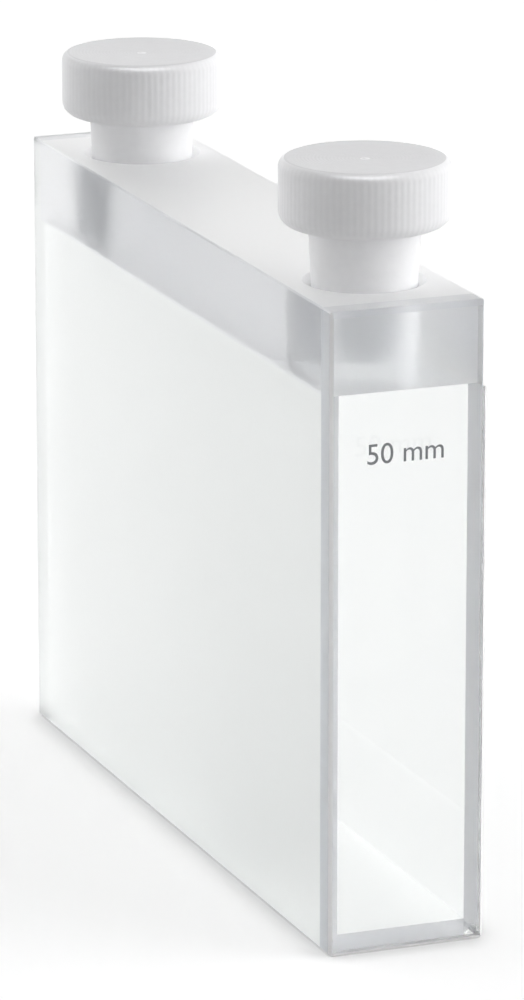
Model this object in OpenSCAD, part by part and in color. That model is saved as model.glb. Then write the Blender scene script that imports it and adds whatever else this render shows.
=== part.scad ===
// Long-path rectangular cuvette: a cell of fused silica plates, closed by two PTFE stoppers.
// X runs across the cell and Y along the light path. Z runs up from the surface it stands on.
// The origin is the centre of the cell's underside.

/* [Cell] */
// Light path: the distance between the inner faces of the two windows
path_length = 50; // [30:1:100]
// Width over the outer faces of the two side plates
cell_width = 10.1; // [8.4:0.1:20]
// Height from the underside to the top face
cell_height = 40; // [25:1:60]
// Thickness of each window
window_thickness = 1.5; // [1:0.05:3]
// Thickness of each side plate
side_thickness = 0.9; // [0.7:0.05:1.3]
// Thickness of the base plate
base_thickness = 1.05; // [0.8:0.05:3]
// Height of the drilled block that closes the top of the cell
block_height = 5.35; // [4.5:0.05:10]
// How far the top of the cell is ground back on the +X side, from the block's underside up
relief = 0.3; // [0.1:0.05:0.5]

/* [Ground edges] */
// Fine bevel on the long edges of the top face and on the upright edges of the ground-back side
fine_bevel = 0.1; // [0.05:0.01:0.2]
// Height of the shallow lip polished along the top of each window
lip_height = 0.4; // [0.1:0.05:1]
// Depth of that lip at the top face
lip_depth = 0.08; // [0.02:0.01:0.2]
// Bevel on the other outer edges
edge_bevel = 0.2; // [0.05:0.05:0.4]

/* [Stopper plugs] */
// Distance from a window's inner face to the axis of the stopper near it
stopper_inset = 5.7; // [4.8:0.1:12]
// Diameter of a plug right under its cap
plug_top_d = 6.8; // [5:0.1:8.2]
// Length of a plug from its cap's underside to its lower end
plug_length = 7.8; // [6.5:0.1:10]
// Diameter that a plug loses over each millimetre of its length
plug_taper = 0.1; // [0.04:0.01:0.12]
// Bevel at a plug's lower end
plug_bevel = 0.3; // [0.1:0.05:0.6]
// Height of the front stopper's cap above the top face
front_stand = 3.4; // [2.5:0.1:4.2]
// Height of the rear stopper's cap above the top face
rear_stand = 2.6; // [2.5:0.1:4.2]
// Radial clearance between a plug and its hole when it is seated
seat_clearance = 0.02; // [0.01:0.01:0.05]
// Width and depth of the countersink at the mouth of each hole
mouth_bevel = 0.5; // [0.1:0.05:0.6]

/* [Stopper caps] */
// Diameter of a cap over its ribs
cap_d = 10.5; // [9:0.1:14]
// Height of a cap
cap_height = 4.1; // [3:0.1:6]
// Radius of the round around a cap's top
cap_top_round = 0.5; // [0.2:0.05:0.8]
// Radius of the round under a cap
cap_bottom_round = 0.9; // [0.3:0.05:1.2]
// Depth of the shallow dish turned into a cap's top
dish_depth = 0.12; // [0.05:0.01:0.3]
// Width of the flat land between the dish and the top round
dish_land = 0.15; // [0.1:0.05:0.5]
// Number of fine ribs around a cap
rib_count = 80; // [48:4:120]
// Depth of the grooves between the ribs
rib_depth = 0.12; // [0.05:0.01:0.2]

/* [Hidden] */
$fn = 96;

cell_length = path_length + 2 * window_thickness;
half_length = cell_length / 2;
half_path = path_length / 2;
half_width = cell_width / 2;
// Height of the block's underside, where the side plates end
seam_z = cell_height - block_height;
// X of the ground-back side above the seam
relief_x = half_width - relief;
// The ledge left below the ground-back side is narrow, so its bevel is limited by it
ledge_bevel = min(edge_bevel, relief / 2);
stopper_y = half_path - stopper_inset;
front_cap_z = cell_height + front_stand;
rear_cap_z = cell_height + rear_stand;
// Radius of a cap's plain ends, halfway between its ridges and its grooves
plain_r = (cap_d - rib_depth) / 2;

SILICA = [0.93, 0.95, 0.95, 0.45];
GROUND_SILICA = [0.88, 0.90, 0.89];
SATIN_SILICA = [0.80, 0.83, 0.83];
PTFE = [0.94, 0.94, 0.93];

// Diameter of a plug at height z, for a cap whose underside is at cap_z
function plug_d(z, cap_z) = plug_top_d - plug_taper * (cap_z - z);

// Section across the cell, in X and Z, with the ledge on the +X side
function cross_section() = [
    [-half_width + edge_bevel, 0], [half_width - edge_bevel, 0],
    [half_width, edge_bevel], [half_width, seam_z - ledge_bevel],
    [half_width - ledge_bevel, seam_z], [relief_x, seam_z],
    [relief_x, cell_height - fine_bevel], [relief_x - fine_bevel, cell_height],
    [-half_width + fine_bevel, cell_height], [-half_width, cell_height - fine_bevel],
    [-half_width, edge_bevel]
];

// Section along the cell, in Y and Z, with the lips at the top of the windows
function long_section() = [
    [-half_length + edge_bevel, 0], [half_length - edge_bevel, 0],
    [half_length, edge_bevel], [half_length, cell_height - lip_height],
    [half_length - lip_depth, cell_height], [-half_length + lip_depth, cell_height],
    [-half_length, cell_height - lip_height], [-half_length, edge_bevel]
];

// Plan of the cell out to x_high, where the upright edges have their own bevel
module plan(x_high, bevel) {
    polygon([
        [-half_width + edge_bevel, -half_length], [x_high - bevel, -half_length],
        [x_high, -half_length + bevel], [x_high, half_length - bevel],
        [x_high - bevel, half_length], [-half_width + edge_bevel, half_length],
        [-half_width, half_length - edge_bevel], [-half_width, -half_length + edge_bevel]
    ]);
}

// Outer form of the whole cell: every plate is cut from it, so the plates finish flush
module outer_form() {
    intersection() {
        translate([0, half_length, 0])
            rotate([90, 0, 0])
                linear_extrude(cell_length)
                    polygon(cross_section());
        translate([-half_width, 0, 0])
            rotate([90, 0, 90])
                linear_extrude(cell_width)
                    polygon(long_section());
        union() {
            linear_extrude(seam_z)
                plan(half_width, edge_bevel);
            translate([0, 0, seam_z])
                linear_extrude(block_height)
                    plan(relief_x, fine_bevel);
        }
    }
}

// The part of the outer form inside the box from low to high
module plate(low, high) {
    intersection() {
        outer_form();
        translate(low)
            cube(high - low);
    }
}

module front_window() {
    color(SILICA)
        plate([-half_width, -half_length, 0], [half_width, -half_path, cell_height]);
}

module rear_window() {
    color(SILICA)
        plate([-half_width, half_path, 0], [half_width, half_length, cell_height]);
}

module left_side_plate() {
    color(GROUND_SILICA)
        plate([-half_width, -half_path, 0], [-half_width + side_thickness, half_path, seam_z]);
}

module right_side_plate() {
    color(GROUND_SILICA)
        plate([half_width - side_thickness, -half_path, 0], [half_width, half_path, seam_z]);
}

module base_plate() {
    inner = half_width - side_thickness;
    color(SILICA)
        translate([-inner, -half_path, 0])
            cube([2 * inner, path_length, base_thickness]);
}

// Tapered hole for one plug, with a countersunk mouth
module stopper_hole(cap_z) {
    overlap = 1;
    top_r = plug_d(cell_height, cap_z) / 2 + seat_clearance;
    taper_r = plug_taper / 2;
    translate([0, 0, seam_z - overlap])
        cylinder(h = block_height + 2 * overlap,
                 r1 = top_r - taper_r * (block_height + overlap),
                 r2 = top_r + taper_r * overlap);
    translate([0, 0, cell_height - mouth_bevel])
        cylinder(h = mouth_bevel + overlap, r1 = top_r, r2 = top_r + mouth_bevel + overlap);
}

module top_block() {
    color(SATIN_SILICA)
        difference() {
            plate([-half_width, -half_path, seam_z], [relief_x, half_path, cell_height]);
            translate([0, -stopper_y, 0])
                stopper_hole(front_cap_z);
            translate([0, stopper_y, 0])
                stopper_hole(rear_cap_z);
        }
}

// Outline of the ribbed grip: a ridge and a groove for each rib
module rib_outline() {
    step = 180 / rib_count;
    polygon([for (i = [0 : 2 * rib_count - 1])
        (cap_d / 2 - (i % 2) * rib_depth) * [cos(i * step), sin(i * step)]]);
}

// Plain end of a cap with its inner face at z = 0: a narrow band, then a round
module cap_end(round) {
    height = round + rib_depth;
    rotate_extrude()
        intersection() {
            square([plain_r, height]);
            union() {
                square([plain_r - round, height]);
                square([plain_r, rib_depth]);
                translate([plain_r - round, rib_depth])
                    circle(round);
            }
        }
}

// Shallow conical dish that is turned into the face at z = 0
module dish() {
    dish_r = plain_r - cap_top_round - dish_land;
    rotate_extrude()
        polygon([[0, -dish_depth], [dish_r, 0], [dish_r, dish_depth], [0, dish_depth]]);
}

// Cap with its underside at z = 0: a plain rounded end below and above a ribbed grip
module cap() {
    grip_low = cap_bottom_round + rib_depth;
    grip_high = cap_height - cap_top_round - rib_depth;
    translate([0, 0, grip_low])
        mirror([0, 0, 1])
            cap_end(cap_bottom_round);
    translate([0, 0, grip_low])
        linear_extrude(grip_high - grip_low)
            rib_outline();
    difference() {
        translate([0, 0, grip_high])
            cap_end(cap_top_round);
        translate([0, 0, cap_height])
            dish();
    }
}

// Tapered plug that hangs down from z = 0, with a bevelled lower end
module plug() {
    low_r = plug_d(-plug_length + plug_bevel, 0) / 2;
    rotate_extrude()
        polygon([
            [0, -plug_length], [low_r - plug_bevel, -plug_length],
            [low_r, -plug_length + plug_bevel], [plug_top_d / 2, 0], [0, 0]
        ]);
}

module stopper(y, cap_z) {
    color(PTFE)
        translate([0, y, cap_z]) {
            cap();
            plug();
        }
}

module front_stopper() {
    stopper(-stopper_y, front_cap_z);
}

module rear_stopper() {
    stopper(stopper_y, rear_cap_z);
}

front_window();
rear_window();
left_side_plate();
right_side_plate();
base_plate();
top_block();
front_stopper();
rear_stopper();
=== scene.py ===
# %% [markdown]
# # A fused silica cuvette with two PTFE stoppers
# A cuvette holds a liquid while light is sent through it, here along a path of 50 mm. This file builds
# the visible model of one: six silica plates fused into a cell, and two turned PTFE stoppers. The packed
# CAD model is loaded first, because it says where everything is and what moves.

# %% Load the frame
import math

import bmesh
import bpy
from mathutils import Matrix, Vector


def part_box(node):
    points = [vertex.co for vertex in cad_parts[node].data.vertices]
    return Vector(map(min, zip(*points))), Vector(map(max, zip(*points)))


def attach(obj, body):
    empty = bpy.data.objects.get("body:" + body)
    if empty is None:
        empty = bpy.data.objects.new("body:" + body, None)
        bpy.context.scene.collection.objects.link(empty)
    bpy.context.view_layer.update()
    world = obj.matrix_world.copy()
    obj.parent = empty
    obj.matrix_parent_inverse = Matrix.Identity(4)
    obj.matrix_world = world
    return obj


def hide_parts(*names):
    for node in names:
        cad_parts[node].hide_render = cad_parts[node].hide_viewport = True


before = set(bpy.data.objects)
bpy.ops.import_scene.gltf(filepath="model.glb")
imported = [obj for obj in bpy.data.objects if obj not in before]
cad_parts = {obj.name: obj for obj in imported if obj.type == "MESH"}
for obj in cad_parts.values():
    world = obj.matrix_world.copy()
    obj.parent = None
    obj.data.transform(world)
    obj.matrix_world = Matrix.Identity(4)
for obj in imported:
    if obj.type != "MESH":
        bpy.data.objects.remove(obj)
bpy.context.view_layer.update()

# %% [markdown]
# ## Sizes
# Blender works in metres here, and a cuvette is easier to think about in millimetres. The places of the
# plates could be typed in again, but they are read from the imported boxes, so the looks always fit the
# frame. Only what a box can't say, such as a bevel, is written down where it is first needed.

# %% Read the plates' places
MM = 0.001
X, Y, Z = range(3)


def box_mm(node):
    """The lowest and highest corners of a CAD node, in millimetres."""
    return [Vector(corner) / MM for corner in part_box(node)]


plate_boxes = {name: box_mm(name) for name in (
    "front_window", "rear_window", "left_side_plate", "right_side_plate",
    "base_plate", "top_block", "front_stopper", "rear_stopper")}
cell_low = plate_boxes["front_window"][0]
cell_high = Vector((plate_boxes["front_window"][1].x, plate_boxes["rear_window"][1].y,
                    plate_boxes["front_window"][1].z))
chamber_y = plate_boxes["rear_window"][0].y
seam_z = plate_boxes["top_block"][0].z
relief_x = plate_boxes["top_block"][1].x
wall_x = plate_boxes["right_side_plate"][0].x
floor_z = plate_boxes["base_plate"][1].z
print("cell", cell_low[:], cell_high[:], "seam", seam_z, "ground back to", relief_x)

# %% [markdown]
# ## Small helpers
# A colour is written as the hex value that a paint chart would give, and one function turns it into the
# linear numbers that Blender wants. A material in Blender is a tree of nodes. Each could be made in three
# or four lines, so one small function adds a node of any kind, with its settings and its links.

# %% Colour and node helpers
SRGB_KNEE = 0.04045  # below this the sRGB curve is a straight line


def linear(hex_colour):
    """sRGB hex, such as #F2F1EC, as linear red, green, blue and alpha."""
    parts = [int(hex_colour[i:i + 2], 16) / 255 for i in (1, 3, 5)]
    return [c / 12.92 if c <= SRGB_KNEE else ((c + 0.055) / 1.055) ** 2.4 for c in parts] + [1.0]


def add(tree, kind, inputs=None, **settings):
    """Adds a node. An input is a value, another node, or one output of a node.
    A name means the socket that is in use: a Mix node has several pairs called A and B."""
    node = tree.nodes.new(kind)
    for key, value in settings.items():
        setattr(node, key, value)
    for key, value in (inputs or {}).items():
        in_use = [socket for socket in node.inputs if socket.enabled and socket.name == key]
        target = in_use[0] if in_use else node.inputs[key]
        if isinstance(value, bpy.types.Node):
            value = next(socket for socket in value.outputs if socket.enabled)
        if isinstance(value, bpy.types.NodeSocket):
            tree.links.new(value, target)
        else:
            target.default_value = value
    return node


def blank_material(name):
    """A material with an empty node tree."""
    material = bpy.data.materials.new(name)
    material.use_nodes = True
    material.node_tree.nodes.clear()
    return material


print("pure white is", linear("#FFFFFF"))

# %% [markdown]
# ## Camera
# The cell is seen from its front left corner and a little above. A wide lens close by would make the
# upright edges lean, so a long lens stands well away, and the edges stay almost parallel.

# %% Camera
CAMERA_AZIMUTH = math.radians(-21.23)
CAMERA_ELEVATION = math.radians(15.36)
CAMERA_DISTANCE = 0.4028
AIM_HEIGHT = 0.02134
AIM_RIGHT = 0.00085
SENSOR_WIDTH = 36
FOCAL_LENGTH = 228.6
NEAREST = 0.05
FARTHEST = 20

to_right = Vector((math.cos(CAMERA_AZIMUTH), math.sin(CAMERA_AZIMUTH), 0))
to_camera = Vector((math.sin(CAMERA_AZIMUTH) * math.cos(CAMERA_ELEVATION),
                    -math.cos(CAMERA_AZIMUTH) * math.cos(CAMERA_ELEVATION),
                    math.sin(CAMERA_ELEVATION)))
lens = bpy.data.cameras.new("camera")
lens.sensor_width = SENSOR_WIDTH
lens.lens = FOCAL_LENGTH
lens.clip_start = NEAREST
lens.clip_end = FARTHEST
camera = bpy.data.objects.new("camera", lens)
scene = bpy.context.scene
scene.collection.objects.link(camera)
camera.location = to_right * AIM_RIGHT + Vector((0, 0, AIM_HEIGHT)) + to_camera * CAMERA_DISTANCE
camera.rotation_mode = "QUATERNION"
camera.rotation_quaternion = (-to_camera).to_track_quat("-Z", "Y")
scene.camera = camera
print("camera at", camera.location[:])

# %% [markdown]
# ## The light tent
# Clear silica has no colour of its own: it shows the room, bent. A studio lights glass with large pale
# panels and lets the room go darker where an edge should draw a line. Lamps could stand for the panels,
# but their outlines would show in the polished faces, so the panels are soft glows in the world itself.
# Each glow is centred on a direction and fades with the angle from it.

# %% The panels of the tent
FRONT = Vector((to_camera.x, to_camera.y, 0)).normalized()
UP = Vector((0, 0, 1))


def around(azimuth, elevation):
    """The direction at an angle round from the camera's side to the right, and at a height."""
    turn, tilt = math.radians(azimuth), math.radians(elevation)
    level = FRONT * math.cos(turn) + to_right * math.sin(turn)
    return level * math.cos(tilt) + UP * math.sin(tilt)


# For each panel: its direction, the cosines at which its fade starts and ends, and the strengths there
PANELS = {
    "key": (around(79.6, 4.5), 0.786, 0.894, 0.0, 3.5),
    "fill": (around(-100, -5), 0.3, 0.9, 0.0, 0.77),
    "softbox": (around(0, 66), 0.8, 0.95, 0.0, 16.0),
    "room_front": (FRONT, -0.3, 0.7, 1.4, 0.31),
    "room_ceiling": (UP, 0.2, 0.9, 1.0, 0.1),
    "glass_front": (FRONT, 0.0, 0.8, 1.27, 0.2),
    "glass_ceiling": (UP, 0.25, 0.7, 1.0, 1.9),
    "glass_floor": (UP, -0.6, 0.05, 0.36, 1.0),
}

scene.view_settings.view_transform = "Standard"
tent = bpy.data.worlds.new("light_tent")
scene.world = tent
tent.use_nodes = True
tent.cycles.sampling_method = "NONE"
tent_tree = tent.node_tree
tent_tree.nodes.clear()

direction = add(tent_tree, "ShaderNodeTexCoord").outputs["Generated"]
glow = {}
for panel, (target, start, end, low, high) in PANELS.items():
    nearness = add(tent_tree, "ShaderNodeVectorMath", {0: direction, 1: target}, operation="DOT_PRODUCT")
    glow[panel] = add(tent_tree, "ShaderNodeMapRange", {
        "Value": nearness, "From Min": start, "From Max": end, "To Min": low, "To Max": high},
        interpolation_type="SMOOTHSTEP")
print("panels:", ", ".join(glow))

# %% [markdown]
# ## Two rooms in one
# Matt surfaces and clear glass ask for different rooms. The panels that make frosted silica evenly pale
# would flood the polished windows. One room could be a compromise, but the Light Path node knows what a
# ray has met, so matt surfaces get the room with the key and the fill, and rays that leave the glass get
# a quieter one. The softbox shows only as gloss. The camera itself sees plain white.

# %% Mix the rooms by what the ray has met
KEY_THROUGH_JOINTS = 10.0  # the key is stronger for light that crosses a fused joint inside the silica

walls = add(tent_tree, "ShaderNodeMath", {0: glow["room_front"], 1: glow["room_ceiling"]},
            operation="MULTIPLY")
room = add(tent_tree, "ShaderNodeMath", {0: glow["key"], 1: glow["fill"]}, operation="ADD")
room = add(tent_tree, "ShaderNodeMath", {0: room, 1: walls}, operation="ADD")
seen_room = add(tent_tree, "ShaderNodeMath", {0: glow["glass_ceiling"], 1: glow["glass_front"]},
                operation="MULTIPLY")
seen_room = add(tent_tree, "ShaderNodeMath", {0: seen_room, 1: glow["glass_floor"]},
                operation="MULTIPLY")

ray = add(tent_tree, "ShaderNodeLightPath")
bent = add(tent_tree, "ShaderNodeMath", {
    0: ray.outputs["Is Glossy Ray"], 1: ray.outputs["Is Transmission Ray"]}, operation="MAXIMUM")
not_scattered = add(tent_tree, "ShaderNodeMath", {0: ray.outputs["Diffuse Depth"], 1: 0.5},
                    operation="LESS_THAN")
bent_clear = add(tent_tree, "ShaderNodeMath", {0: bent, 1: not_scattered}, operation="MULTIPLY")
bent_scattered = add(tent_tree, "ShaderNodeMath", {0: bent, 1: bent_clear}, operation="SUBTRACT")
crossed_joint = add(tent_tree, "ShaderNodeMath", {0: ray.outputs["Transparent Depth"], 1: 0.5},
                    operation="GREATER_THAN")
joint_light = add(tent_tree, "ShaderNodeMath", {0: bent_scattered, 1: crossed_joint},
                  operation="MULTIPLY")
joint_key = add(tent_tree, "ShaderNodeMath", {0: glow["key"], 1: joint_light}, operation="MULTIPLY")
joint_key = add(tent_tree, "ShaderNodeMath", {0: joint_key, 1: KEY_THROUGH_JOINTS},
                operation="MULTIPLY")
room = add(tent_tree, "ShaderNodeMath", {0: room, 1: joint_key}, operation="ADD")
gloss = add(tent_tree, "ShaderNodeMath", {0: glow["softbox"], 1: ray.outputs["Is Glossy Ray"]},
            operation="MULTIPLY")
seen_room = add(tent_tree, "ShaderNodeMath", {0: seen_room, 1: gloss}, operation="ADD")
strength = add(tent_tree, "ShaderNodeMix", {"Factor": bent_clear, "A": room, "B": seen_room},
               data_type="FLOAT")
strength = add(tent_tree, "ShaderNodeMath", {0: strength, 1: ray.outputs["Is Camera Ray"]},
               operation="MAXIMUM")
sky = add(tent_tree, "ShaderNodeBackground", {"Color": (1, 1, 1, 1), "Strength": strength})
add(tent_tree, "ShaderNodeOutputWorld", {"Surface": sky})
print("nodes in the light tent:", len(tent_tree.nodes))

# %% [markdown]
# ## Floor
# The cell stands on a sheet of white paper. It is one flat face, far wider than the object, and it is
# the stage, not a part of it. It lies a hair below the cell, so that the two faces don't share a plane.
# Soft light leaves almost no shadow, so the thin dark line where the cell meets the paper comes from
# ambient occlusion, which darkens what lies close to something else.

# %% Floor
FLOOR_HALF = 3.0
FLOOR_GAP = 0.00003
paper_form = bmesh.new()
paper_form.faces.new([paper_form.verts.new((x * FLOOR_HALF, y * FLOOR_HALF, -FLOOR_GAP))
                      for x, y in ((-1, -1), (1, -1), (1, 1), (-1, 1))])
floor_mesh = bpy.data.meshes.new("floor")
paper_form.to_mesh(floor_mesh)
paper_form.free()
floor = bpy.data.objects.new("floor", floor_mesh)
scene.collection.objects.link(floor)
print("floor", 2 * FLOOR_HALF, "m wide,", FLOOR_GAP / MM, "mm below the cell")

# %% [markdown]
# ## Paper
# White uncoated paper is a plain diffuse surface with a faint cloudiness from its fibres. A pure diffuse
# sheet would turn grey under this soft light, so a little emission lifts it: one amount for the camera,
# and another for rays that reach it through the glass or as gloss.

# %% Paper material
CLOUDS = 900.0           # over the whole sheet of 6 m, so one cloud is 6.7 mm: coarser than real fibres
PAPER_DARK, PAPER_LIGHT = 0.69, 0.71
CAMERA_BRIGHTER = 0.2    # added to the paper's own colour, for the camera only
CAMERA_LIFT = 0.47
GLASS_LIFT = 0.73
CONTACT_REACH = 0.0018   # how far the contact line spreads, in metres
CONTACT_DARKEST = 0.5

paper = blank_material("white_paper_sweep")
paper_tree = paper.node_tree
ray = add(paper_tree, "ShaderNodeLightPath")
to_eye = ray.outputs["Is Camera Ray"]

contact = add(paper_tree, "ShaderNodeAmbientOcclusion", {"Distance": CONTACT_REACH}, samples=16)
contact = add(paper_tree, "ShaderNodeMapRange", {
    "Value": contact.outputs["AO"], "From Min": 0.0, "From Max": 1.0,
    "To Min": CONTACT_DARKEST, "To Max": 1.0})
other_rays = add(paper_tree, "ShaderNodeMath", {0: 1.0, 1: to_eye}, operation="SUBTRACT")
contact = add(paper_tree, "ShaderNodeMath", {0: other_rays, 1: contact}, operation="MAXIMUM")

clouds = add(paper_tree, "ShaderNodeTexNoise", {"Scale": CLOUDS, "Detail": 2.0})
pale = add(paper_tree, "ShaderNodeMapRange", {
    "Value": clouds, "To Min": PAPER_DARK, "To Max": PAPER_LIGHT})
brighter = add(paper_tree, "ShaderNodeMath", {0: to_eye, 1: CAMERA_BRIGHTER}, operation="MULTIPLY")
pale = add(paper_tree, "ShaderNodeMath", {0: pale, 1: brighter}, operation="ADD")
pale = add(paper_tree, "ShaderNodeMath", {0: pale, 1: contact}, operation="MULTIPLY")

glass_lift = add(paper_tree, "ShaderNodeMath", {
    0: ray.outputs["Is Glossy Ray"], 1: ray.outputs["Is Transmission Ray"]}, operation="MAXIMUM")
glass_lift = add(paper_tree, "ShaderNodeMath", {0: glass_lift, 1: GLASS_LIFT}, operation="MULTIPLY")
camera_lift = add(paper_tree, "ShaderNodeMath", {0: to_eye, 1: CAMERA_LIFT}, operation="MULTIPLY")
lift = add(paper_tree, "ShaderNodeMath", {0: glass_lift, 1: camera_lift}, operation="MAXIMUM")
lift = add(paper_tree, "ShaderNodeMath", {0: lift, 1: contact}, operation="MULTIPLY")

fibres = add(paper_tree, "ShaderNodeBsdfDiffuse", {"Color": pale})
shine = add(paper_tree, "ShaderNodeEmission", {"Strength": lift})
surface = add(paper_tree, "ShaderNodeAddShader", {0: fibres, 1: shine})
add(paper_tree, "ShaderNodeOutputMaterial", {"Surface": surface})
floor_mesh.materials.append(paper)
print("nodes in the paper:", len(paper_tree.nodes))

# %% [markdown]
# ## Room for many bounces
# A ray that enters this cell may cross a dozen polished, matt and fused faces before it leaves. With
# Blender's usual limits it could stop inside and leave a corner too dark, so the limits are raised.

# %% Bounces
scene.cycles.max_bounces = 24
scene.cycles.transmission_bounces = 24
scene.cycles.transparent_max_bounces = 32
scene.cycles.diffuse_bounces = 6
scene.cycles.glossy_bounces = 12
scene.cycles.use_denoising = True
print("most bounces:", scene.cycles.max_bounces)

# %% [markdown]
# ## Polished silica
# The windows are fused silica, polished until no scratch scatters light, because the beam goes through
# them. That gives the eye full clearness and sharp reflections. A Glass shader would do, but Principled
# exports better, so it is used with full transmission and no roughness. A very faint haze, from the last
# trace of polish, keeps the faces from being perfectly empty.

# %% Polished silica material
SILICA_IOR = 1.458
HAZE_PATCH = 2.857  # mm: how far one patch of haze spreads


def polished_silica():
    material = blank_material("polished_fused_silica")
    tree = material.node_tree
    place = add(tree, "ShaderNodeTexCoord").outputs["Object"]
    haze = add(tree, "ShaderNodeTexNoise", {
        "Vector": place, "Scale": 1 / (HAZE_PATCH * MM), "Detail": 3.0})
    tone = add(tree, "ShaderNodeMix", {
        "Factor": haze, "A": linear("#FDFEFE"), "B": linear("#FFFFFF")}, data_type="RGBA")
    glass = add(tree, "ShaderNodeBsdfPrincipled", {
        "Base Color": tone, "Roughness": 0.0, "IOR": SILICA_IOR, "Transmission Weight": 1.0})
    add(tree, "ShaderNodeOutputMaterial", {"Surface": glass})
    return material


polished = polished_silica()
print("made", polished.name)

# %% [markdown]
# ## Matt silica
# Every face that the beam doesn't use is left as a tool left it. Loose grit breaks the surface into tiny
# pits, which scatter light and turn clear silica white. The pits could be modelled, but they are
# hundredths of a millimetre across, so roughness stands for them and a fine bump adds the grain. How
# much light still gets through is the transmission, and the rest comes back as a white surface would
# send it. The colour is the same all over such a face, so it is set on the shader itself.

# %% Matt silica material
GRIT = 0.25         # mm: pits from grit are about 0.02 mm wide, drawn coarser so that they show
GRIT_RELIEF = 0.02  # mm
GRIT_BUMP = 0.3     # share of that relief that the bump uses


def matt_silica(name, roughness, clear, colour):
    """Silica with a matt surface. clear is the share of light that gets through it."""
    material = blank_material(name)
    tree = material.node_tree
    place = add(tree, "ShaderNodeTexCoord").outputs["Object"]
    grit = add(tree, "ShaderNodeTexNoise", {"Vector": place, "Scale": 1 / (GRIT * MM), "Detail": 3.0})
    pits = add(tree, "ShaderNodeBump", {
        "Height": grit, "Strength": GRIT_BUMP, "Distance": GRIT_RELIEF * MM})
    glass = add(tree, "ShaderNodeBsdfPrincipled", {
        "Base Color": linear(colour), "Roughness": roughness, "IOR": SILICA_IOR,
        "Transmission Weight": clear, "Normal": pits})
    add(tree, "ShaderNodeOutputMaterial", {"Surface": glass})
    return material


print("grit drawn", GRIT, "mm wide")

# %% [markdown]
# ## Fused joints
# Where two plates are fused, the silica runs on and there is nothing to see. The plates are still
# separate closed pieces here, so the two faces that touch must let a ray pass unbent. They could be
# deleted, but a plate with a missing face isn't a solid, so they get a fully transparent material.

# %% Fused joint material
def fused_joint():
    material = blank_material("fused_silica_joint")
    tree = material.node_tree
    clear = add(tree, "ShaderNodeBsdfTransparent", {"Color": (1, 1, 1, 1)})
    add(tree, "ShaderNodeOutputMaterial", {"Surface": clear})
    return material


joint = fused_joint()
print("made", joint.name)

# %% [markdown]
# ## The set of finishes
# The same silica is seen in nine states, by the tool that was last on each face. A plate carries all
# nine, and each of its faces picks one by number.

# %% Silica finishes
POLISHED, GROUND, SATIN, FUSED, EDGE, BORED, FACED, SEAM, HAZE = range(9)
silica_finishes = [
    polished,
    # Ground on a coarse wheel: even white, and the room's light still soaks through
    matt_silica("ground_fused_silica", 0.5, 1.0, "#FDFFFE"),
    # Ground with fine grit: satin and a little greyer, and shapes behind it show as soft shadows
    matt_silica("satin_fused_silica", 0.45, 0.86, "#F6F7F9"),
    joint,
    # Lapped on a flat plate: the thin grey line along an edge is painted shade
    matt_silica("lapped_fused_silica", 0.6, 0.45, "#D6D9DC"),
    # Bored with a tapered tool: its darker grey is painted shade, for the little light that reaches it
    # through the block
    matt_silica("bored_fused_silica", 0.5, 0.75, "#D0D2D5"),
    # Faced with a cup wheel: nearly opaque, a clean bright white
    matt_silica("faced_fused_silica", 0.4, 0.22, "#FFFFFF"),
    # A seam that is only half clear, and its soft grey band is painted shade
    matt_silica("fused_seam_silica", 0.3, 0.5, "#CCCDD0"),
    # A seam that is almost clear: only a light veil
    matt_silica("hazy_seam_silica", 0.28, 0.86, "#FFFFFF"),
]
print("silica finishes:", ", ".join(finish.name for finish in silica_finishes))

# %% [markdown]
# ## Cutting a plate
# The plates are sawn as blanks, fused together, and then the whole cell is ground to size and its edges
# are bevelled. A Bevel modifier would round every edge alike, but here each edge has its own bevel, and
# inner edges have none. So each plate starts as a blank, and planes cut it as a grinding wheel would.

# %% Blanks, and grinding them to a plane
EDGE_BEVEL = 0.2
FINE_BEVEL = 0.1
LIP_HEIGHT = 0.4
LIP_DEPTH = 0.08
LEDGE_BEVEL = 0.15
HAIR = 0.001     # mm: closeness that counts as touching
ON_PLANE = 1e-5  # mm: closeness of a point to a cutting plane that counts as on it


def blank(low, high):
    """A blank of silica from low to high, as it comes off the saw."""
    form = bmesh.new()
    bmesh.ops.create_cube(form, size=1)
    low, high = Vector(low), Vector(high)
    for v in form.verts:
        v.co = Vector((v.co[i] + 0.5) * (high[i] - low[i]) + low[i] for i in range(3))
    return form


def grind(form, point, normal):
    """Takes off everything past a plane and closes the new face."""
    everything = form.verts[:] + form.edges[:] + form.faces[:]
    cut = bmesh.ops.bisect_plane(form, geom=everything, dist=ON_PLANE, plane_co=point,
                                 plane_no=normal, clear_outer=True)["geom_cut"]
    rim = [e for e in cut if isinstance(e, bmesh.types.BMEdge) and e.is_boundary]
    if rim:
        bmesh.ops.holes_fill(form, edges=rim, sides=0)


def bevel_edge(form, corner, width):
    """Grinds a 45 degree bevel on the edge where two outer faces meet.
    corner has (place, sign) for the axes of the two faces, and None for the axis along the edge."""
    normal, point = Vector(), Vector()
    for i, face in enumerate(corner):
        if face is not None:
            point[i] = face[0]
            normal[i] = math.copysign(1, face[1])
    first = next(i for i, face in enumerate(corner) if face is not None)
    point[first] -= normal[first] * width
    grind(form, point, normal)


print("bevels in mm:", EDGE_BEVEL, FINE_BEVEL, LEDGE_BEVEL)

# %% [markdown]
# ## The outer form
# All plates share one outer form, so they finish flush. Below the seam it is a plain box with bevels.
# Above the seam its right side is ground back, and the top of each window has a shallow lip.

# %% Lower and upper form
END_FACES = ((-1, cell_low.y), (1, cell_high.y))


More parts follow.
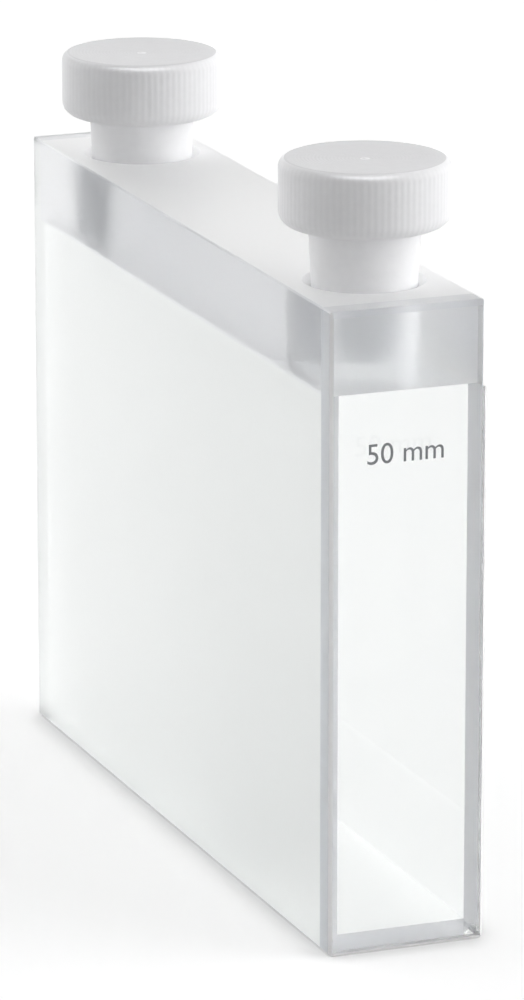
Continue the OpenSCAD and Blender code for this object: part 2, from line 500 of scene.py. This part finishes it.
def lower_form(low, high):
    """The cell below the seam, cut to the box from low to high."""
    form = blank(low, high)
    for side, x in ((-1, cell_low.x), (1, cell_high.x)):
        for end, y in END_FACES:
            bevel_edge(form, [(x, side), (y, end), None], EDGE_BEVEL)
        bevel_edge(form, [(x, side), None, (0, -1)], EDGE_BEVEL)
    for end, y in END_FACES:
        bevel_edge(form, [None, (y, end), (0, -1)], EDGE_BEVEL)
    bevel_edge(form, [(cell_high.x, 1), None, (seam_z, 1)], LEDGE_BEVEL)
    return form


def upper_form(low, high):
    """The cell above the seam, cut to the box from low to high."""
    form = blank(low, high)
    for side, x, upright in ((-1, cell_low.x, EDGE_BEVEL), (1, relief_x, FINE_BEVEL)):
        for end, y in END_FACES:
            bevel_edge(form, [(x, side), (y, end), None], upright)
        bevel_edge(form, [(x, side), None, (cell_high.z, 1)], FINE_BEVEL)
    for end, y in END_FACES:
        grind(form, Vector((0, y, cell_high.z - LIP_HEIGHT)), Vector((0, end * LIP_HEIGHT, LIP_DEPTH)))
    return form


print("lips", LIP_HEIGHT, "mm high and", LIP_DEPTH, "mm deep")

# %% [markdown]
# ## From a form to a piece
# A form becomes an object in the scene, and two solids can be joined or cut exactly with Blender's
# Boolean modifier. A face that a neighbour covers only in part needs one finish where it touches and
# another where it is free, so faces in a joint are split along the outlines of the plates against them.

# %% Objects, joining and splitting
FLAT = 1e-4  # how far a face may lean and still lie in the plane that is split


def as_object(name, form):
    """Turns a form into an object of the scene."""
    mesh = bpy.data.meshes.new(name)
    form.to_mesh(mesh)
    form.free()
    piece = bpy.data.objects.new(name, mesh)
    scene.collection.objects.link(piece)
    return piece


def combine(piece, other, operation):
    """Joins another solid to a piece, or takes it away, exactly."""
    modifier = piece.modifiers.new("combine", "BOOLEAN")
    modifier.operation = operation
    modifier.solver = "EXACT"
    modifier.object = other
    depsgraph = bpy.context.evaluated_depsgraph_get()
    mesh = bpy.data.meshes.new_from_object(piece.evaluated_get(depsgraph))
    piece.modifiers.clear()
    piece.data = mesh
    bpy.data.objects.remove(other)


def split_face_plane(form, axis, level, cuts):
    """Splits the faces that lie in one plane along the outlines of the plates against them."""
    for cut_axis, place in cuts:
        faces = [f for f in form.faces if abs(abs(f.normal[axis]) - 1) < FLAT
                 and abs(f.calc_center_median()[axis] - level) < HAIR]
        edges = (e for f in faces for e in f.edges)
        corners = (v for f in faces for v in f.verts)
        normal = Vector([float(i == cut_axis) for i in range(3)])
        bmesh.ops.bisect_plane(form, geom=list({*faces, *edges, *corners}), dist=ON_PLANE,
                               plane_co=normal * place, plane_no=normal)


print("faces within", HAIR, "mm of a joint are split")

# %% [markdown]
# ## Finishing a plate
# The last step is the same for every plate: clean the mesh, split its joints, give each face its finish,
# and bring it from millimetres to metres. The plate then rides on the cell and replaces its CAD node.

# %% Finish a plate
MERGE = 1e-4               # mm: points closer than this become one
SAME_PLANE = math.radians(0.05)
SQUARE_ON = 0.999          # a face looks along an axis when its normal has at least this much of it


def facing(normal, axis):
    return abs(normal[axis]) > SQUARE_ON


def finish_plate(piece, node, cuts, finish_of):
    """Cleans and splits the mesh, gives each face its finish and scales it to metres."""
    form = bmesh.new()
    form.from_mesh(piece.data)
    bmesh.ops.remove_doubles(form, verts=form.verts, dist=MERGE)
    bmesh.ops.dissolve_limit(form, angle_limit=SAME_PLANE, verts=form.verts, edges=form.edges)
    bmesh.ops.recalc_face_normals(form, faces=form.faces)
    for axis, level, lines in cuts:
        split_face_plane(form, axis, level, lines)
    for f in form.faces:
        f.material_index = finish_of(f.calc_center_median(), f.normal)
    open_edges = sum(not e.is_manifold for e in form.edges)
    bmesh.ops.transform(form, matrix=Matrix.Scale(MM, 4), verts=form.verts)
    form.to_mesh(piece.data)
    print(piece.name, "faces", len(form.faces), "open edges", open_edges,
          "volume mm3", round(form.calc_volume() / MM ** 3, 2))
    form.free()
    for finish in silica_finishes:
        piece.data.materials.append(finish)
    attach(piece, "cell")
    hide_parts(node)


# %% [markdown]
# ## Windows
# Each window is one polished plate over the full height of an end. It could be a single box, but the
# cell is narrower above the seam, so a lower and an upper form are joined. Only the chamber's part of
# its inner face is seen polished from inside: the rest lies against the walls, the base and the block.

# %% Windows
BOTTOM_ZONE = 1       # mm: below this height, a sloping face is one of the bottom bevels
LEANS_OUT = 0.1       # a bevel leans to a side when its normal has more than this of it
UPRIGHT = 0.05        # an upright bevel's normal has less height in it than this


def make_window(name, node):
    low, high = plate_boxes[node]
    piece = as_object(name, lower_form(low, (high.x, high.y, seam_z)))
    upper = as_object("upper", upper_form((low.x, low.y, seam_z), (relief_x, high.y, high.z)))
    combine(piece, upper, "UNION")
    is_front = node == "front_window"
    inner_y = high.y if is_front else low.y

    def joint_finish(centre):
        """The finish on the inner face, by what lies against it."""
        if abs(centre.x) < wall_x and floor_z < centre.z < seam_z:
            return POLISHED
        if centre.z > seam_z:
            return HAZE
        return SEAM if is_front else FUSED

    def finish_of(centre, normal):
        ground_back = centre.x > 0 and centre.z > seam_z
        if facing(normal, Y):
            return joint_finish(centre) if abs(centre.y - inner_y) < HAIR else POLISHED
        if facing(normal, X):
            if ground_back:
                return FACED
            return EDGE if is_front and centre.x < 0 else GROUND
        if centre.z < BOTTOM_ZONE:
            return FACED
        if normal.y > LEANS_OUT or (ground_back and normal.x > LEANS_OUT):
            return EDGE
        return FACED if abs(normal.z) < UPRIGHT else SATIN

    cuts = [(Y, inner_y, [(Z, seam_z), (Z, floor_z), (X, -wall_x), (X, wall_x)])]
    finish_plate(piece, node, cuts, finish_of)


make_window("window_front", "front_window")
make_window("window_rear", "rear_window")

# %% [markdown]
# ## Side plates
# The two long walls are ground matt on the outside, where hands hold the cell, and polished inside. Each
# is one lower form, cut to the wall's own box. The right one ends in a narrow ledge, because the cell is
# ground back above it, so its top face is split where the block stops.

# %% Side plates
BEVEL_DOWN = -0.5  # a bottom bevel's normal points down at least this much


def make_side_plate(name, node):
    piece = as_object(name, lower_form(*plate_boxes[node]))
    side = -1 if node == "left_side_plate" else 1

    def finish_of(centre, normal):
        if facing(normal, Y):
            return FUSED
        if facing(normal, Z) and centre.z > BOTTOM_ZONE:
            return FUSED if side < 0 or centre.x < relief_x else GROUND
        if facing(normal, X) and abs(abs(centre.x) - wall_x) < HAIR:
            return FUSED if centre.z < floor_z else POLISHED
        return EDGE if normal.z < BEVEL_DOWN and not facing(normal, Z) else GROUND

    cuts = [(X, side * wall_x, [(Z, floor_z)])]
    if side > 0:
        cuts.append((Z, seam_z, [(X, relief_x)]))
    finish_plate(piece, node, cuts, finish_of)


make_side_plate("side_plate_left", "left_side_plate")
make_side_plate("side_plate_right", "right_side_plate")

# %% [markdown]
# ## Base plate
# The floor of the chamber is a thin plate between the other four. All its edges are fused, so it needs
# no bevels: a blank of the right size is the whole piece. It is polished above and ground below.

# %% Base plate
BASE_MIDDLE = 0.5  # mm: tells the base plate's top face from its underside


def base_finish(centre, normal):
    if facing(normal, Z):
        return POLISHED if centre.z > BASE_MIDDLE else GROUND
    return FUSED


base_plate = as_object("base", blank(*plate_boxes["base_plate"]))
finish_plate(base_plate, "base_plate", [], base_finish)

# %% [markdown]
# ## Turning a round solid
# The stoppers are turned on a lathe, and their holes are bored with a tapered tool. Both are a profile
# swept round an axis. Blender's Screw modifier could do it, but the caps also have ribs, so a function
# that asks for the radius at each angle serves the plain and the ribbed parts alike.

# %% Turned solids
STOPPER_Y = 19.3
PLUG_TOP_D = 6.8
PLUG_LENGTH = 7.8
PLUG_TAPER = 0.1
stopper_rows = {"front_stopper": -STOPPER_Y, "rear_stopper": STOPPER_Y}


def revolve(profile, segments, radius_of=lambda r, z, angle, k: r):
    """A closed solid turned from a profile of (radius, height) points, from one end to the other."""
    form = bmesh.new()
    rings = []
    for k, (r, z) in enumerate(profile):
        if r == 0:
            rings.append([form.verts.new((0, 0, z))])
            continue
        ring = []
        for i in range(segments):
            angle = 2 * math.pi * i / segments
            here = radius_of(r, z, angle, k)
            ring.append(form.verts.new((here * math.cos(angle), here * math.sin(angle), z)))
        rings.append(ring)
    for lower, upper in zip(rings, rings[1:]):
        for i in range(segments):
            j = (i + 1) % segments
            corners = []
            for ring, order in ((lower, (i, j)), (upper, (j, i))):
                corners += [ring[0]] if len(ring) == 1 else [ring[n] for n in order]
            form.faces.new(corners)
    bmesh.ops.recalc_face_normals(form, faces=form.faces)
    return form


print("stoppers at y", stopper_rows)

# %% [markdown]
# ## Drilled block
# A thick block closes the top of the chamber, and two tapered holes with countersunk mouths lead through
# it. They are cut as they are in the workshop, with a solid of the tool's shape. Enough segments keep
# the holes' outlines round where they refract.

# %% Bore the block
SEAT_CLEARANCE = 0.02
MOUTH_BEVEL = 0.5
TOOL_OVERSHOOT = 1  # mm that the tool passes beyond the block at both ends
HOLE_SEGMENTS = 128

block = as_object("drilled_block", upper_form(*plate_boxes["top_block"]))
for node, y in stopper_rows.items():
    cap_z = plate_boxes[node][0].z + PLUG_LENGTH
    top_r = (PLUG_TOP_D - PLUG_TAPER * (cap_z - cell_high.z)) / 2 + SEAT_CLEARANCE
    depth = cell_high.z - seam_z + TOOL_OVERSHOOT
    tool = as_object("tool", revolve([
        (0, cell_high.z - depth),
        (top_r - PLUG_TAPER / 2 * depth, cell_high.z - depth),
        (top_r - PLUG_TAPER / 2 * MOUTH_BEVEL, cell_high.z - MOUTH_BEVEL),
        (top_r + MOUTH_BEVEL, cell_high.z),
        (top_r + MOUTH_BEVEL + TOOL_OVERSHOOT, cell_high.z + TOOL_OVERSHOOT),
        (0, cell_high.z + TOOL_OVERSHOOT)], HOLE_SEGMENTS))
    tool.location = (0, y, 0)
    combine(block, tool, "DIFFERENCE")
    print("hole for", node, "is", round(2 * top_r, 3), "mm wide at the top face")

# %% [markdown]
# ## Finishes of the block
# The outside is satin, the top is faced white, and the holes get a painted darker shade. The countersinks
# are faced too. The holes are then shaded smooth, while their rims stay sharp.

# %% Finish the block
HOLE_ZONE = 4.2      # mm from a hole's axis within which a sloping face belongs to the hole
SMOOTH_ZONE = 4.0    # mm from a hole's axis within which faces are shaded smooth
MOSTLY_UP = 0.9
COUNTERSINK_UP = 0.3  # a countersink's normal points up at least this much
HOLE_SHARP = math.radians(20)


def near_hole(centre, reach):
    return any(math.hypot(centre.x, centre.y - y) < reach for y in stopper_rows.values())


def block_finish(centre, normal):
    if facing(normal, Y) and abs(centre.y) > chamber_y - HAIR:
        return FUSED
    if facing(normal, Z) and centre.z < seam_z + HAIR:
        return FUSED if abs(centre.x) > wall_x else SATIN
    if normal.z > MOSTLY_UP:
        return FACED
    if facing(normal, X) or facing(normal, Z):
        return SATIN
    if not near_hole(centre, HOLE_ZONE):
        return EDGE if centre.x > 0 else SATIN
    return FACED if normal.z > COUNTERSINK_UP else BORED


finish_plate(block, "top_block", [(Z, seam_z, [(X, -wall_x), (X, wall_x)])], block_finish)
for face in block.data.polygons:
    face.use_smooth = near_hole(face.center / MM, SMOOTH_ZONE) and abs(face.normal.z) < SQUARE_ON
block_form = bmesh.new()
block_form.from_mesh(block.data)
for e in block_form.edges:
    if len(e.link_faces) == 2 and e.calc_face_angle() > HOLE_SHARP:
        e.smooth = False
block_form.to_mesh(block.data)
block_form.free()
print("smooth faces in the block:", sum(face.use_smooth for face in block.data.polygons))

# %% [markdown]
# ## The shape of a stopper
# Each stopper is turned from one bar of PTFE: a tapered plug, a small fillet, and a cap with a rounded
# foot, 80 fine ribs, a rounded top and a shallow dish. The tool leaves a tiny pip at the dish's centre.
# The whole outline is one profile, and each of its points says how much of the ribs it takes part in, so
# the ribs fade out towards the rounds.

# %% Profile of a stopper
CAP_D = 10.5
CAP_HEIGHT = 4.1
CAP_TOP_ROUND = 0.5
CAP_BOTTOM_ROUND = 0.9
DISH_DEPTH = 0.12
DISH_LAND = 0.15
RIB_COUNT = 80
RIB_DEPTH = 0.12
RIB_SHOW = 0.022    # mm: depth of the soft ribs that are seen, shallower than the CAD's grooves
RIB_FADE_LOW = 2    # how fast the ribs fade in above the foot
RIB_FADE_HIGH = 2.2  # and out below the top
RIBS_FULL_FROM = 0.5  # mm above the foot's round
RIBS_FULL_TO = 0.13   # mm below the top's round
PLUG_BEVEL = 0.3
FILLET = 0.15
FILLET_MIDDLE = 0.3   # share of the fillet, out and down, at its middle point
PIP_R = 0.2
PIP_SKIRT = 1.6       # shares of the pip's radius where its foot starts and its tip ends
PIP_TIP = 0.6
PIP_HEIGHT = 0.05
PIP_FOOT = 0.01       # mm from the dish's lowest point to the foot of the pip
ROUND_STEPS = 6
plain_r = (CAP_D - RIB_DEPTH) / 2


def stopper_profile():
    """Points (radius, height, share of the rib's depth) from the plug's end to the cap's centre."""
    low_r = (PLUG_TOP_D - PLUG_TAPER * (PLUG_LENGTH - PLUG_BEVEL)) / 2
    neck_r = PLUG_TOP_D / 2
    points = [(0, -PLUG_LENGTH, 0), (low_r - PLUG_BEVEL, -PLUG_LENGTH, 0),
              (low_r, -PLUG_LENGTH + PLUG_BEVEL, 0), (neck_r, -FILLET, 0),
              (neck_r + FILLET_MIDDLE * FILLET, -FILLET_MIDDLE * FILLET, 0), (neck_r + FILLET, 0, 0),
              (plain_r - CAP_BOTTOM_ROUND, 0, 0)]
    for n in range(1, ROUND_STEPS + 1):
        turn = math.pi / 2 * n / ROUND_STEPS
        points.append((plain_r - CAP_BOTTOM_ROUND * (1 - math.sin(turn)),
                       CAP_BOTTOM_ROUND * (1 - math.cos(turn)),
                       max(0, math.sin(turn) * RIB_FADE_LOW - 1)))
    points += [(plain_r, CAP_BOTTOM_ROUND + RIBS_FULL_FROM, 1),
               (plain_r, CAP_HEIGHT - CAP_TOP_ROUND - RIBS_FULL_TO, 1)]
    for n in range(ROUND_STEPS + 1):
        turn = math.pi / 2 * n / ROUND_STEPS
        points.append((plain_r - CAP_TOP_ROUND * (1 - math.cos(turn)),
                       CAP_HEIGHT - CAP_TOP_ROUND * (1 - math.sin(turn)),
                       max(0, 1 - RIB_FADE_HIGH * math.sin(turn))))
    dish_r = plain_r - CAP_TOP_ROUND - DISH_LAND
    low = CAP_HEIGHT - DISH_DEPTH
    points += [(dish_r, CAP_HEIGHT, 0), (PIP_R * PIP_SKIRT, low + PIP_FOOT, 0),
               (PIP_R, low + PIP_FOOT, 0), (PIP_R * PIP_TIP, low + PIP_HEIGHT, 0),
               (0, low + PIP_HEIGHT, 0)]
    return points


print("points in the profile:", len(stopper_profile()))

# %% [markdown]
# ## Turned PTFE
# PTFE is a soft, waxy, dense white plastic. Light enters it a little way and comes out again, so its
# shades are gentle, and a lathe tool leaves fine rings on its end faces. The rings could be geometry,
# but they are shallower than a hair, so they are a bump that shows only on faces that look straight up.
# The end faces get a painted shade round the pip, since they look greyer than the grip under this light,
# and the grooves between the ribs get a little painted shade too.

# %% Turned PTFE material
PTFE_IOR = 1.38
PTFE_ROUGHNESS = 0.35
GLOW_SHARE = 0.5       # share of light that enters the plastic and comes out again
GLOW_DEPTH = 0.8       # mm that it travels inside
SPECK = 0.5556         # mm: faint cloudiness, drawn coarser than the real grain so that it shows
RING_SPACING = 0.22    # mm: coarser than a lathe's usual feed of about 0.1 mm, so that it shows
RING_SHARE = 0.2       # height of the rings beside the specks
RELIEF = 0.03          # mm
RELIEF_BUMP = 0.4
LOOKS_UP = 0.95
GRIP_STARTS = 0.3      # mm inside the plain radius where the groove shade begins
GRIP_FULL = 0.1        # and where it is full
# Painted shade: a little in the rib grooves, more on the end faces round the pip
PAINTED_GROOVE_SHADE = 0.03
PAINTED_END_SHADE = 0.22
PIP_CLEAR = 0.3        # mm: the pip stays bright inside this radius


def turned_ptfe():
    material = blank_material("turned_ptfe")
    tree = material.node_tree
    coordinates = add(tree, "ShaderNodeTexCoord")
    place = coordinates.outputs["Object"]
    axes = add(tree, "ShaderNodeSeparateXYZ", {0: place})
    level = add(tree, "ShaderNodeCombineXYZ", {"X": axes.outputs["X"], "Y": axes.outputs["Y"]})
    radius = add(tree, "ShaderNodeVectorMath", {0: level}, operation="LENGTH")
    normal = add(tree, "ShaderNodeSeparateXYZ", {0: coordinates.outputs["Normal"]})
    on_top = add(tree, "ShaderNodeMath", {0: normal.outputs["Z"], 1: LOOKS_UP}, operation="GREATER_THAN")

    # Relief: specks everywhere, and lathe rings on top
    speck = add(tree, "ShaderNodeTexNoise", {"Vector": place, "Scale": 1 / (SPECK * MM), "Detail": 3.0})
    rings = add(tree, "ShaderNodeMath", {0: radius, 1: 2 * math.pi / (RING_SPACING * MM)},
                operation="MULTIPLY")
    rings = add(tree, "ShaderNodeMath", {0: rings}, operation="SINE")
    rings = add(tree, "ShaderNodeMath", {0: rings, 1: on_top}, operation="MULTIPLY")
    rings = add(tree, "ShaderNodeMath", {0: rings, 1: RING_SHARE}, operation="MULTIPLY")
    relief = add(tree, "ShaderNodeMath", {0: rings, 1: speck}, operation="ADD")
    bump = add(tree, "ShaderNodeBump", {
        "Height": relief, "Strength": RELIEF_BUMP, "Distance": RELIEF * MM})

    # Painted shade: in the grooves, and on the end face round the pip
    angle = add(tree, "ShaderNodeMath", {0: axes.outputs["Y"], 1: axes.outputs["X"]},
                operation="ARCTAN2")
    wave = add(tree, "ShaderNodeMath", {0: angle, 1: float(RIB_COUNT)}, operation="MULTIPLY")
    wave = add(tree, "ShaderNodeMath", {0: wave}, operation="COSINE")
    groove_painted_shade = add(tree, "ShaderNodeMapRange", {
        "Value": wave, "From Min": -1.0, "From Max": 1.0, "To Min": PAINTED_GROOVE_SHADE, "To Max": 0.0})
    grip = add(tree, "ShaderNodeMapRange", {
        "Value": radius, "From Min": (plain_r - GRIP_STARTS) * MM, "From Max": (plain_r - GRIP_FULL) * MM})
    groove_painted_shade = add(tree, "ShaderNodeMath", {0: groove_painted_shade, 1: grip}, operation="MULTIPLY")
    off_pip = add(tree, "ShaderNodeMath", {0: radius, 1: PIP_CLEAR * MM}, operation="GREATER_THAN")
    end_face_painted_shade = add(tree, "ShaderNodeMath", {0: on_top, 1: off_pip}, operation="MULTIPLY")
    end_face_painted_shade = add(tree, "ShaderNodeMath", {0: end_face_painted_shade, 1: PAINTED_END_SHADE}, operation="MULTIPLY")
    shade = add(tree, "ShaderNodeMath", {0: groove_painted_shade, 1: end_face_painted_shade}, operation="ADD")

    tone = add(tree, "ShaderNodeMix", {
        "Factor": speck, "A": linear("#F2F2F4"), "B": linear("#F8F8FA")}, data_type="RGBA")
    # The painted shade mixes the tone towards black
    tone = add(tree, "ShaderNodeMix", {
        "Factor": shade, "A": tone, "B": linear("#000000")}, data_type="RGBA")
    plastic = add(tree, "ShaderNodeBsdfPrincipled", {
        "Base Color": tone, "Roughness": PTFE_ROUGHNESS, "IOR": PTFE_IOR,
        "Subsurface Weight": GLOW_SHARE, "Subsurface Radius": (1.0, 1.0, 1.0),
        "Subsurface Scale": GLOW_DEPTH * MM, "Normal": bump})
    add(tree, "ShaderNodeOutputMaterial", {"Surface": plastic})
    return material


ptfe = turned_ptfe()
print("nodes in the PTFE:", len(ptfe.node_tree.nodes))

# %% [markdown]
# ## Stoppers
# Both stoppers are the same turned piece, and the rear one is pushed in further. Each rides on its own
# body, so it lifts out of its hole without the other. Four segments for each rib keep the ribs round.

# %% Stoppers
RIB_SEGMENTS = 4
STOPPER_SHARP = math.radians(35)


def make_stopper(name, node, body):
    profile = stopper_profile()

    def ribbed(r, z, angle, k):
        return r + RIB_SHOW / 2 * math.cos(RIB_COUNT * angle) * profile[k][2]

    form = revolve([point[:2] for point in profile], RIB_COUNT * RIB_SEGMENTS, ribbed)
    open_edges = sum(not e.is_manifold for e in form.edges)
    bmesh.ops.transform(form, matrix=Matrix.Scale(MM, 4), verts=form.verts)
    for f in form.faces:
        f.smooth = True
    for e in form.edges:
        if e.calc_face_angle(0) > STOPPER_SHARP:
            e.smooth = False
    piece = as_object(name, form)
    piece.data.materials.append(ptfe)
    piece.location = (0, stopper_rows[node] * MM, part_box(node)[0].z + PLUG_LENGTH * MM)
    bpy.context.view_layer.update()
    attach(piece, body)
    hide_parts(node)
    print(name, "faces", len(piece.data.polygons), "open edges", open_edges)


make_stopper("stopper_front", "front_stopper", "front_plug")
make_stopper("stopper_rear", "rear_stopper", "rear_plug")

# %% [markdown]
# ## The 50 mm mark
# The light path is printed on the front window. A texture could carry it, but a print has a real edge
# and a little thickness, so it is text turned into a thin solid. Text in Blender lies flat and faces up,
# so it is stood upright against the glass, a thousandth of a millimetre in front of it.

# %% Shape of the mark
MARK_THICK = 0.004
MARK_WIDTH = 4.9
MARK_GAP = 0.001
MARK_PLACE = Vector((-0.25, cell_low.y, 31.15))
FONT_SIZE = 1.6     # any size does, as the width is set afterwards
FONT_STEPS = 6
GLYPH_MERGE = 1e-5

lettering = bpy.data.curves.new("mark_text", "FONT")
lettering.body = "50 mm"
lettering.size = FONT_SIZE
lettering.extrude = MARK_THICK / 2
lettering.resolution_u = FONT_STEPS
text = bpy.data.objects.new("mark_text", lettering)
scene.collection.objects.link(text)
depsgraph = bpy.context.evaluated_depsgraph_get()
mark_mesh = bpy.data.meshes.new_from_object(text.evaluated_get(depsgraph))
bpy.data.objects.remove(text)

glyphs = bmesh.new()
glyphs.from_mesh(mark_mesh)
bmesh.ops.remove_doubles(glyphs, verts=glyphs.verts, dist=GLYPH_MERGE)
xs = [v.co.x for v in glyphs.verts]
ys = [v.co.y for v in glyphs.verts]
text_width = max(xs) - min(xs)
text_middle = Vector(((max(xs) + min(xs)) / 2, (max(ys) + min(ys)) / 2, 0))
for v in glyphs.verts:
    flat = (v.co - text_middle) * (MARK_WIDTH / text_width)
    v.co = MARK_PLACE + Vector((flat.x, -MARK_THICK / 2 - MARK_GAP - v.co.z, flat.y))
bmesh.ops.recalc_face_normals(glyphs, faces=glyphs.faces)
if glyphs.calc_volume(signed=True) < 0:
    bmesh.ops.reverse_faces(glyphs, faces=glyphs.faces)
print("mark", MARK_WIDTH, "mm wide, volume mm3", round(glyphs.calc_volume(signed=True), 5),
      "open edges", sum(not e.is_manifold for e in glyphs.edges))
bmesh.ops.transform(glyphs, matrix=Matrix.Scale(MM, 4), verts=glyphs.verts)
glyphs.to_mesh(mark_mesh)
glyphs.free()
mark = bpy.data.objects.new("path_mark", mark_mesh)
scene.collection.objects.link(mark)

# %% [markdown]
# ## Screen-printed ink
# The mark is a baked grey ink, pressed through a screen. The screen's mesh leaves it slightly uneven, so
# the grey wanders between two close tones, and it is matt beside the glass.

# %% Ink material
INK_PATCH = 0.1667  # mm: coarser than a real screen's threads, so that it shows
INK_ROUGHNESS = 0.6

ink = blank_material("grey_screen_print")
ink_tree = ink.node_tree
ink_place = add(ink_tree, "ShaderNodeTexCoord").outputs["Object"]
uneven = add(ink_tree, "ShaderNodeTexNoise", {
    "Vector": ink_place, "Scale": 1 / (INK_PATCH * MM), "Detail": 2.0})
grey = add(ink_tree, "ShaderNodeMix", {
    "Factor": uneven, "A": linear("#74777A"), "B": linear("#8A8D90")}, data_type="RGBA")
print_coat = add(ink_tree, "ShaderNodeBsdfPrincipled", {"Base Color": grey, "Roughness": INK_ROUGHNESS})
add(ink_tree, "ShaderNodeOutputMaterial", {"Surface": print_coat})
mark_mesh.materials.clear()
mark_mesh.materials.append(ink)
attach(mark, "cell")
print("mark made of", len(mark_mesh.polygons), "faces")

# %% [markdown]
# ## Last update
# The visible model must stay inside the CAD model's box. Here the view layer is brought up to date at the
# end.

# %% Last update
bpy.context.view_layer.update()
